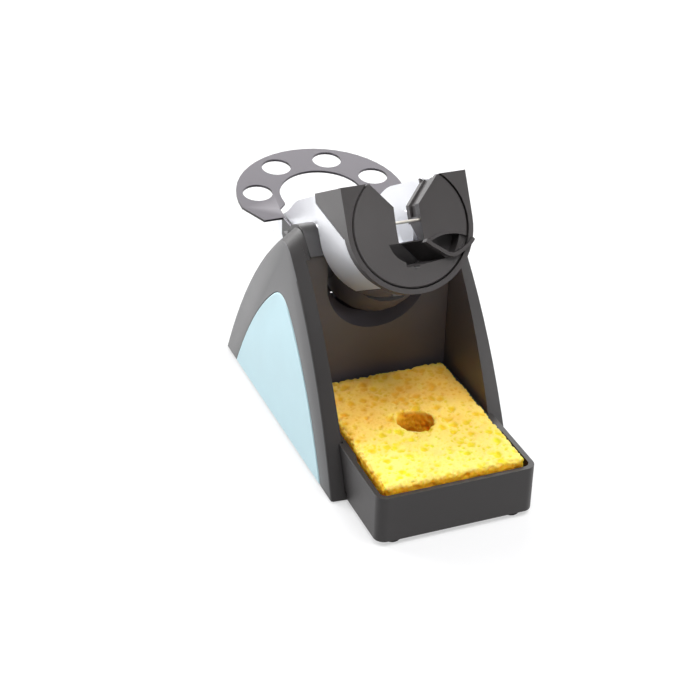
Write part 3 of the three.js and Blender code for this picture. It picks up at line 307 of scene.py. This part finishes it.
surfaces = {
    "charcoalPlastic": {**moulded, "colour": (0.033, 0.030, 0.030), "rough": 0.42, "specular": 0.4},
    # bayPlastic: a lighter, bluer copy of the charcoal plastic for the faces inside the shaded bay,
    # painted light that lifts their shade and offsets the brown light bouncing there
    "bayPlastic": {**moulded, "colour": (0.082, 0.074, 0.084), "rough": 0.45, "specular": 0.45},
    # panelFace: the side panels' outer faces, glossier than the charcoal plastic, with a lighter
    # colour that is painted light for the bright sheen they catch at a grazing angle
    "panelFace": {**moulded, "colour": (0.056, 0.055, 0.057), "rough": 0.32, "specular": 0.85},
    "insertPlastic": {**pressed, "colour": (0.054, 0.049, 0.049), "rough": 0.38, "specular": 0.55},
    # mattInsert: a darker, rough and barely glossy copy of the insert plastic, painted shade that
    # takes the highlight off the upward ledges
    "mattInsert": {**pressed, "colour": (0.045, 0.041, 0.041), "rough": 0.8, "specular": 0.1},
    "accentPlastic": {
        **moulded, "colour": (0.54, 0.755, 0.82), "rough": 0.42,
        "variation": 0.04, "scale": 2200, "depth": 0.06,
    },
    "silverPaint": {
        **metal, "colour": (0.84, 0.85, 0.885), "rough": 0.34,
        "variation": 0.04, "metallic": 0.65,
    },
    "rackSteel": {**metal, "colour": (0.100, 0.092, 0.104), "rough": 0.42, "metallic": 0.6},
    "brightSteel": {**metal, "colour": (0.62, 0.62, 0.63), "rough": 0.25},
    "dullSteel": {**metal, "colour": (0.42, 0.40, 0.36), "rough": 0.45},
    "blackenedSteel": {**metal, "colour": (0.10, 0.10, 0.105), "rough": 0.4},
    "zincSteel": {**metal, "colour": (0.5, 0.51, 0.53), "rough": 0.4},
    "bushBrass": {**metal, "colour": (0.72, 0.52, 0.25), "rough": 0.35},
    "footRubber": {
        **moulded, "colour": (0.02, 0.02, 0.02), "rough": 0.85, "specular": 0.3,
        "variation": 0.15, "scale": 1500, "depth": 0.3,
    },
}


def makeSurface(name, spec):
    material, tree, shader = newMaterial(
        name, {"Specular IOR Level": spec["specular"], "Metallic": spec["metallic"]}
    )
    grain = tree.nodes.new("ShaderNodeGroup")
    grain.node_tree = mouldGrain
    setInputs(tree, grain, {
        "Color": spec["colour"], "Variation": spec["variation"], "Roughness": spec["rough"],
        "Grain Scale": spec["scale"], "Depth": spec["depth"],
    })
    setInputs(tree, shader, {
        "Base Color": grain.outputs["Color"], "Roughness": grain.outputs["Roughness"],
        "Normal": grain.outputs["Normal"],
    })
    return material


finishes = {name: makeSurface(name, spec) for name, spec in surfaces.items()}
print("finishes ready:", len(finishes))


# Hard pieces: the CAD shapes with softened edges

softEdges = {
    "merge": 0.002,  # in mm
    "flat": 0.3,  # in degrees: faces that meet at less become one
    "segments": 2,
    "mouldedAngle": 32,
    "turnedAngle": 40,
    "turnedWidth": 0.12,
}

# Corners that lie a little off the CAD piece's, in mm: the low rear wall's back edge stands
# higher, and the disc's edge left of the slot reaches further down over the mouth
shifted = {
    "base_body": {"from": (-28, 47, 26.2), "to": (28, 48, 26.4), "by": (0, 0, 1.3)},
    "funnel_insert": {
        "from": (-9.2, -36, 92.7), "to": (-4.8, -35.2, 93.1), "by": (0, -0.34, -0.61),
    },
}


def shiftCorners(bm, spec):
    low, high = spec["from"], spec["to"]
    picked = [v for v in bm.verts if all(low[i] < v.co[i] / mm < high[i] for i in range(3))]
    bmesh.ops.translate(bm, vec=Vector(spec["by"]) * mm, verts=picked)


def bodyOf(node):
    bodies = frame["record"]["behaviour"]["bodies"]
    return next(body for body, members in bodies.items() if node in members)


def pieceName(node):
    first, *rest = node.split("_")
    return first + "".join(word.capitalize() for word in rest)


def softened(node, finish, width, angle):
    bm = bmesh.new()
    bm.from_mesh(frame["nodes"][node].data)
    bmesh.ops.remove_doubles(bm, verts=bm.verts, dist=softEdges["merge"] * mm)
    bmesh.ops.dissolve_limit(
        bm, angle_limit=radians(softEdges["flat"]), verts=bm.verts, edges=bm.edges,
        use_dissolve_boundaries=False,
    )
    if node in shifted:
        shiftCorners(bm, shifted[node])
    smoothByAngle(bm, angle)
    piece = meshObject(bm, pieceName(node), finishes[finish])
    bevel = piece.modifiers.new("softEdge", "BEVEL")
    bevel.width = width * mm
    bevel.segments = softEdges["segments"]
    bevel.limit_method = "ANGLE"
    bevel.angle_limit = radians(angle)
    bevel.use_clamp_overlap = True
    bevel.harden_normals = True
    bevel.miter_outer = "MITER_ARC"
    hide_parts(node)
    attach(piece, bodyOf(node))
    return piece


# A face takes another finish where it looks a given way, mostly to paint light or shade onto it:
# finish, way, and the least cosine to it
facePaint = {
    # The front faces of the base and the front and under faces of the keel take the bay's lighter
    # copy: painted light in the shaded bay
    "base_body": (("bayPlastic", (0, -1, 0), 0.3),),
    "head_keel": (("bayPlastic", (0, -0.5, -0.87), 0.2),),
    # The upward ledges in the slot and the mouth take the insert's painted-shade copy, which keeps
    # them dark and without a highlight
    "funnel_insert": (("mattInsert", (0, 0.49, 0.87), 0.8),),  # ledges in the slot and the mouth
    # The rack's side ears take the dark charcoal plastic: painted shade, as they lie in shadow
    "tip_rack": (("charcoalPlastic", (1, 0, 0), 0.9), ("charcoalPlastic", (-1, 0, 0), 0.9)),
    # Side panels: the outer faces take the glossier copy whose lighter colour is painted light, and
    # the inner faces the bay's painted light
    "side_panel_left": (("panelFace", (-1, 0, 0), 0.9), ("bayPlastic", (1, 0, 0), 0.9)),
    "side_panel_right": (("panelFace", (1, 0, 0), 0.9), ("bayPlastic", (-1, 0, 0), 0.9)),
}


def paintFaces(piece, paints):
    for slot, (finish, way, least) in enumerate(paints, 1):
        piece.data.materials.append(finishes[finish])
        for face in piece.data.polygons:
            if face.normal.dot(Vector(way)) > least:
                face.material_index = slot


# The finish of each moulded or pressed piece, and the width of its soft edges in mm
mouldedParts = {
    "base_body": ("charcoalPlastic", 0.15),
    "side_panel_left": ("charcoalPlastic", 0.3),
    "side_panel_right": ("charcoalPlastic", 0.3),
    "accent_panel_left": ("accentPlastic", 0.15),
    "accent_panel_right": ("accentPlastic", 0.15),
    "trunnion_cap_left": ("charcoalPlastic", 0.4),
    "trunnion_cap_right": ("charcoalPlastic", 0.4),
    "head_frame": ("insertPlastic", 0.25),
    "head_shell": ("silverPaint", 0.25),
    "head_keel": ("charcoalPlastic", 0.1),
    "funnel_insert": ("insertPlastic", 0.2),
    "sponge_tray": ("charcoalPlastic", 0.4),
    "tip_rack": ("rackSteel", 0.12),
}
for node, (finish, width) in mouldedParts.items():
    paintFaces(softened(node, finish, width, softEdges["mouldedAngle"]), facePaint.get(node, ()))
print("moulded pieces ready")

# The first of these words that is found in a node's name gives its finish
turnedParts = {
    "frame_screw": "blackenedSteel",
    "rack_screw": "blackenedSteel",
    "screw": "brightSteel",
    "trunnion_pin": "brightSteel",
    "rest_pin": "dullSteel",
    "friction_washer": "brightSteel",
    "trunnion_bush": "bushBrass",
    "ballast_plate": "zincSteel",
    "foot": "footRubber",
}
for node in frame["nodes"]:
    finish = next((finish for word, finish in turnedParts.items() if word in node), None)
    if finish and node not in mouldedParts:
        softened(node, finish, softEdges["turnedWidth"], softEdges["turnedAngle"])
print("turned and rubber pieces ready")


# Sponge: a damp cellulose pad with open pores, cut edges and a round hole

sponge = {
    "voxel": 0.5,  # lengths in mm, scales in cells to a mm
    "hole": 7.0,
    "cornerRound": 1.4,
    "seed": 4,  # noise_vector differs from run to run without one
    "place": (4, 7, 3),  # where in the noise the sponge lies
    "swell": {"scale": 0.13, "reach": 0.35},  # slow lumps on its faces
    "edge": 3,  # how far in from its cut edges they still show
    "frayed": {"scale": 0.8, "more": 0.2, "reach": 1.5},  # how far the cut edges are worn back
    "pores": ((0.21, 1.0), (0.42, 0.7), (0.85, 0.4)),  # scale and share of the depth
    "poreWander": {"scale": 0.4, "reach": 0.9},  # bends the cells out of round
    "poreOpen": 0.43,
    "poreDepth": 1.1,
    "edgePores": 0.7,  # share of the pores that the cut edges lose, and of the fibres
    "edgeFibres": 0.5,
    "fibres": {"scales": (0.9, 1.7), "fineShare": 0.5, "reach": 0.18},
}


def makeSponge(spec, material):
    low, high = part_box("sponge")
    middle = (low + high) / 2
    bm = bmesh.new()
    bmesh.ops.create_cube(bm, size=1)
    bmesh.ops.scale(bm, vec=high - low, verts=bm.verts)
    bmesh.ops.translate(bm, vec=middle, verts=bm.verts)
    bmesh.ops.bevel(
        bm, geom=bm.edges[:], offset=spec["cornerRound"] * mm, offset_type="OFFSET", segments=3,
        profile=0.5, affect="EDGES", material=-1, clamp_overlap=True,
    )
    pad = meshObject(bm, "spongePad", material)
    radius = spec["hole"] * mm
    drill = bmesh.new()
    bmesh.ops.create_cone(
        drill, cap_ends=True, segments=48, radius1=radius, radius2=radius, depth=50 * mm
    )
    bmesh.ops.translate(drill, vec=middle, verts=drill.verts)
    drillBit = meshObject(drill, "drillBit", material)
    hole = pad.modifiers.new("hole", "BOOLEAN")
    hole.operation = "DIFFERENCE"
    hole.object = drillBit
    remesh = pad.modifiers.new("foam", "REMESH")
    remesh.mode = "VOXEL"
    remesh.voxel_size = spec["voxel"] * mm
    applyModifiers(pad)
    bpy.data.objects.remove(drillBit)
    return pad


def openPores(pad, spec):
    low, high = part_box("sponge")
    noise.seed_set(spec["seed"])
    place = Vector(spec["place"])
    swell, frayed, wander = spec["swell"], spec["frayed"], spec["poreWander"]
    fibres = spec["fibres"]
    bm = bmesh.new()
    bm.from_mesh(pad.data)
    bm.normal_update()
    poreOf = bm.verts.layers.float.new("pore")
    moves = []
    for vert in bm.verts:
        at = vert.co / mm
        inset = sorted(
            min(vert.co[axis] - low[axis], high[axis] - vert.co[axis]) / mm for axis in range(3)
        )
        edge = max(0.0, 1 - inset[1] / spec["edge"])  # 1 on the cut edges
        bent = at + noise.noise_vector(at * wander["scale"]) * wander["reach"]
        pore = 0.0
        for scale, share in spec["pores"]:
            distance = noise.voronoi(bent * scale + place)[0][0]
            pore = max(pore, share * max(0.0, 1 - distance / spec["poreOpen"]))
        pore *= 1 - spec["edgePores"] * edge
        lumps = noise.noise(at * swell["scale"] + place) * swell["reach"]
        torn = max(0.0, noise.noise(at * frayed["scale"] + place) + frayed["more"])
        worn = edge * torn * frayed["reach"]
        coarse, fine = (noise.noise(at * scale) for scale in fibres["scales"])
        tufts = (coarse + fibres["fineShare"] * fine) * fibres["reach"]
        tufts *= 1 - spec["edgeFibres"] * edge
        vert[poreOf] = pore
        moves.append(vert.normal * (lumps + tufts - worn - pore * spec["poreDepth"]) * mm)
    for vert, move in zip(bm.verts, moves):
        vert.co += move
    for face in bm.faces:
        face.smooth = True
    bm.to_mesh(pad.data)
    bm.free()


spongeLook = {
    "frontColour": (0.98, 0.76, 0.21),
    "rearColour": (0.98, 0.56, 0.105),
    "sideColour": (1.0, 0.50, 0.02),
    # Pore colours: darker, deeper-toned copies of the front and rear colours, painted shade in the
    # pores' hollows
    "frontPore": (0.78, 0.72, 0.003),
    "rearPore": (0.86, 0.40, 0.03),
    "frontToRear": (0.012, 0.050),  # from the front edge: where one colour turns into the other
    "topToSide": (0.0004, 0.0022),  # from the top down
    "cloud": {"scale": 110, "detail": 5, "range": (0.35, 0.65), "reach": 0.22},  # makes it blotchy
    "poreShade": {"range": (0.03, 0.40), "most": 0.9},
    "surface": {
        "Roughness": 0.85,
        "Specular IOR Level": 0.2,
        "Subsurface Weight": 0.7,
        "Subsurface Radius": (1.0, 0.6, 0.10),
        "Subsurface Scale": 0.004,
    },
    "cells": {"scale": 1100, "strength": 0.35, "height": 0.0003},
}


def makeSpongeYellow(spec):
    low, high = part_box("sponge")
    material, tree, shader = newMaterial("spongeYellow", spec["surface"])
    place = tree.nodes.new("ShaderNodeTexCoord").outputs["Object"]
    split = tree.nodes.new("ShaderNodeSeparateXYZ")
    plug(tree, split.inputs[0], place)
    cloud, cells, poreShade = spec["cloud"], spec["cells"], spec["poreShade"]

    nearRear = mapRange(tree, split.outputs["Y"], [low.y + reach for reach in spec["frontToRear"]])
    blotch = cloudNoise(tree, place, cloud["scale"], cloud["detail"])
    drift = mapRange(tree, blotch, cloud["range"], (-cloud["reach"], cloud["reach"]))
    warm = calculate(tree, "ADD", nearRear, drift, clamp=True)
    side = mapRange(tree, split.outputs["Z"], [high.z - depth for depth in spec["topToSide"]])
    top = mixColours(tree, warm, spec["frontColour"], spec["rearColour"])
    skin = mixColours(tree, side, top, spec["sideColour"])
    # Painted shade: the pores darken towards these colours
    topPoreShade = mixColours(tree, warm, spec["frontPore"], spec["rearPore"])
    poreShadeColour = mixColours(tree, side, topPoreShade, spec["sideColour"])
    pore = tree.nodes.new("ShaderNodeAttribute")
    pore.attribute_name = "pore"
    inPore = mapRange(tree, pore.outputs["Fac"], poreShade["range"], (0, poreShade["most"]))
    plug(tree, shader.inputs["Base Color"], mixColours(tree, inPore, skin, poreShadeColour))
    fine = tree.nodes.new("ShaderNodeTexVoronoi")
    setInputs(tree, fine, {"Vector": place, "Scale": cells["scale"]})
    normal = bumpNormal(tree, fine.outputs["Distance"], cells["strength"], cells["height"])
    plug(tree, shader.inputs["Normal"], normal)
    return material


spongePad = makeSponge(sponge, makeSpongeYellow(spongeLook))
openPores(spongePad, sponge)
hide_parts("sponge")
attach(spongePad, "sponge_body")
print("sponge ready:", len(spongePad.data.vertices), "vertices")
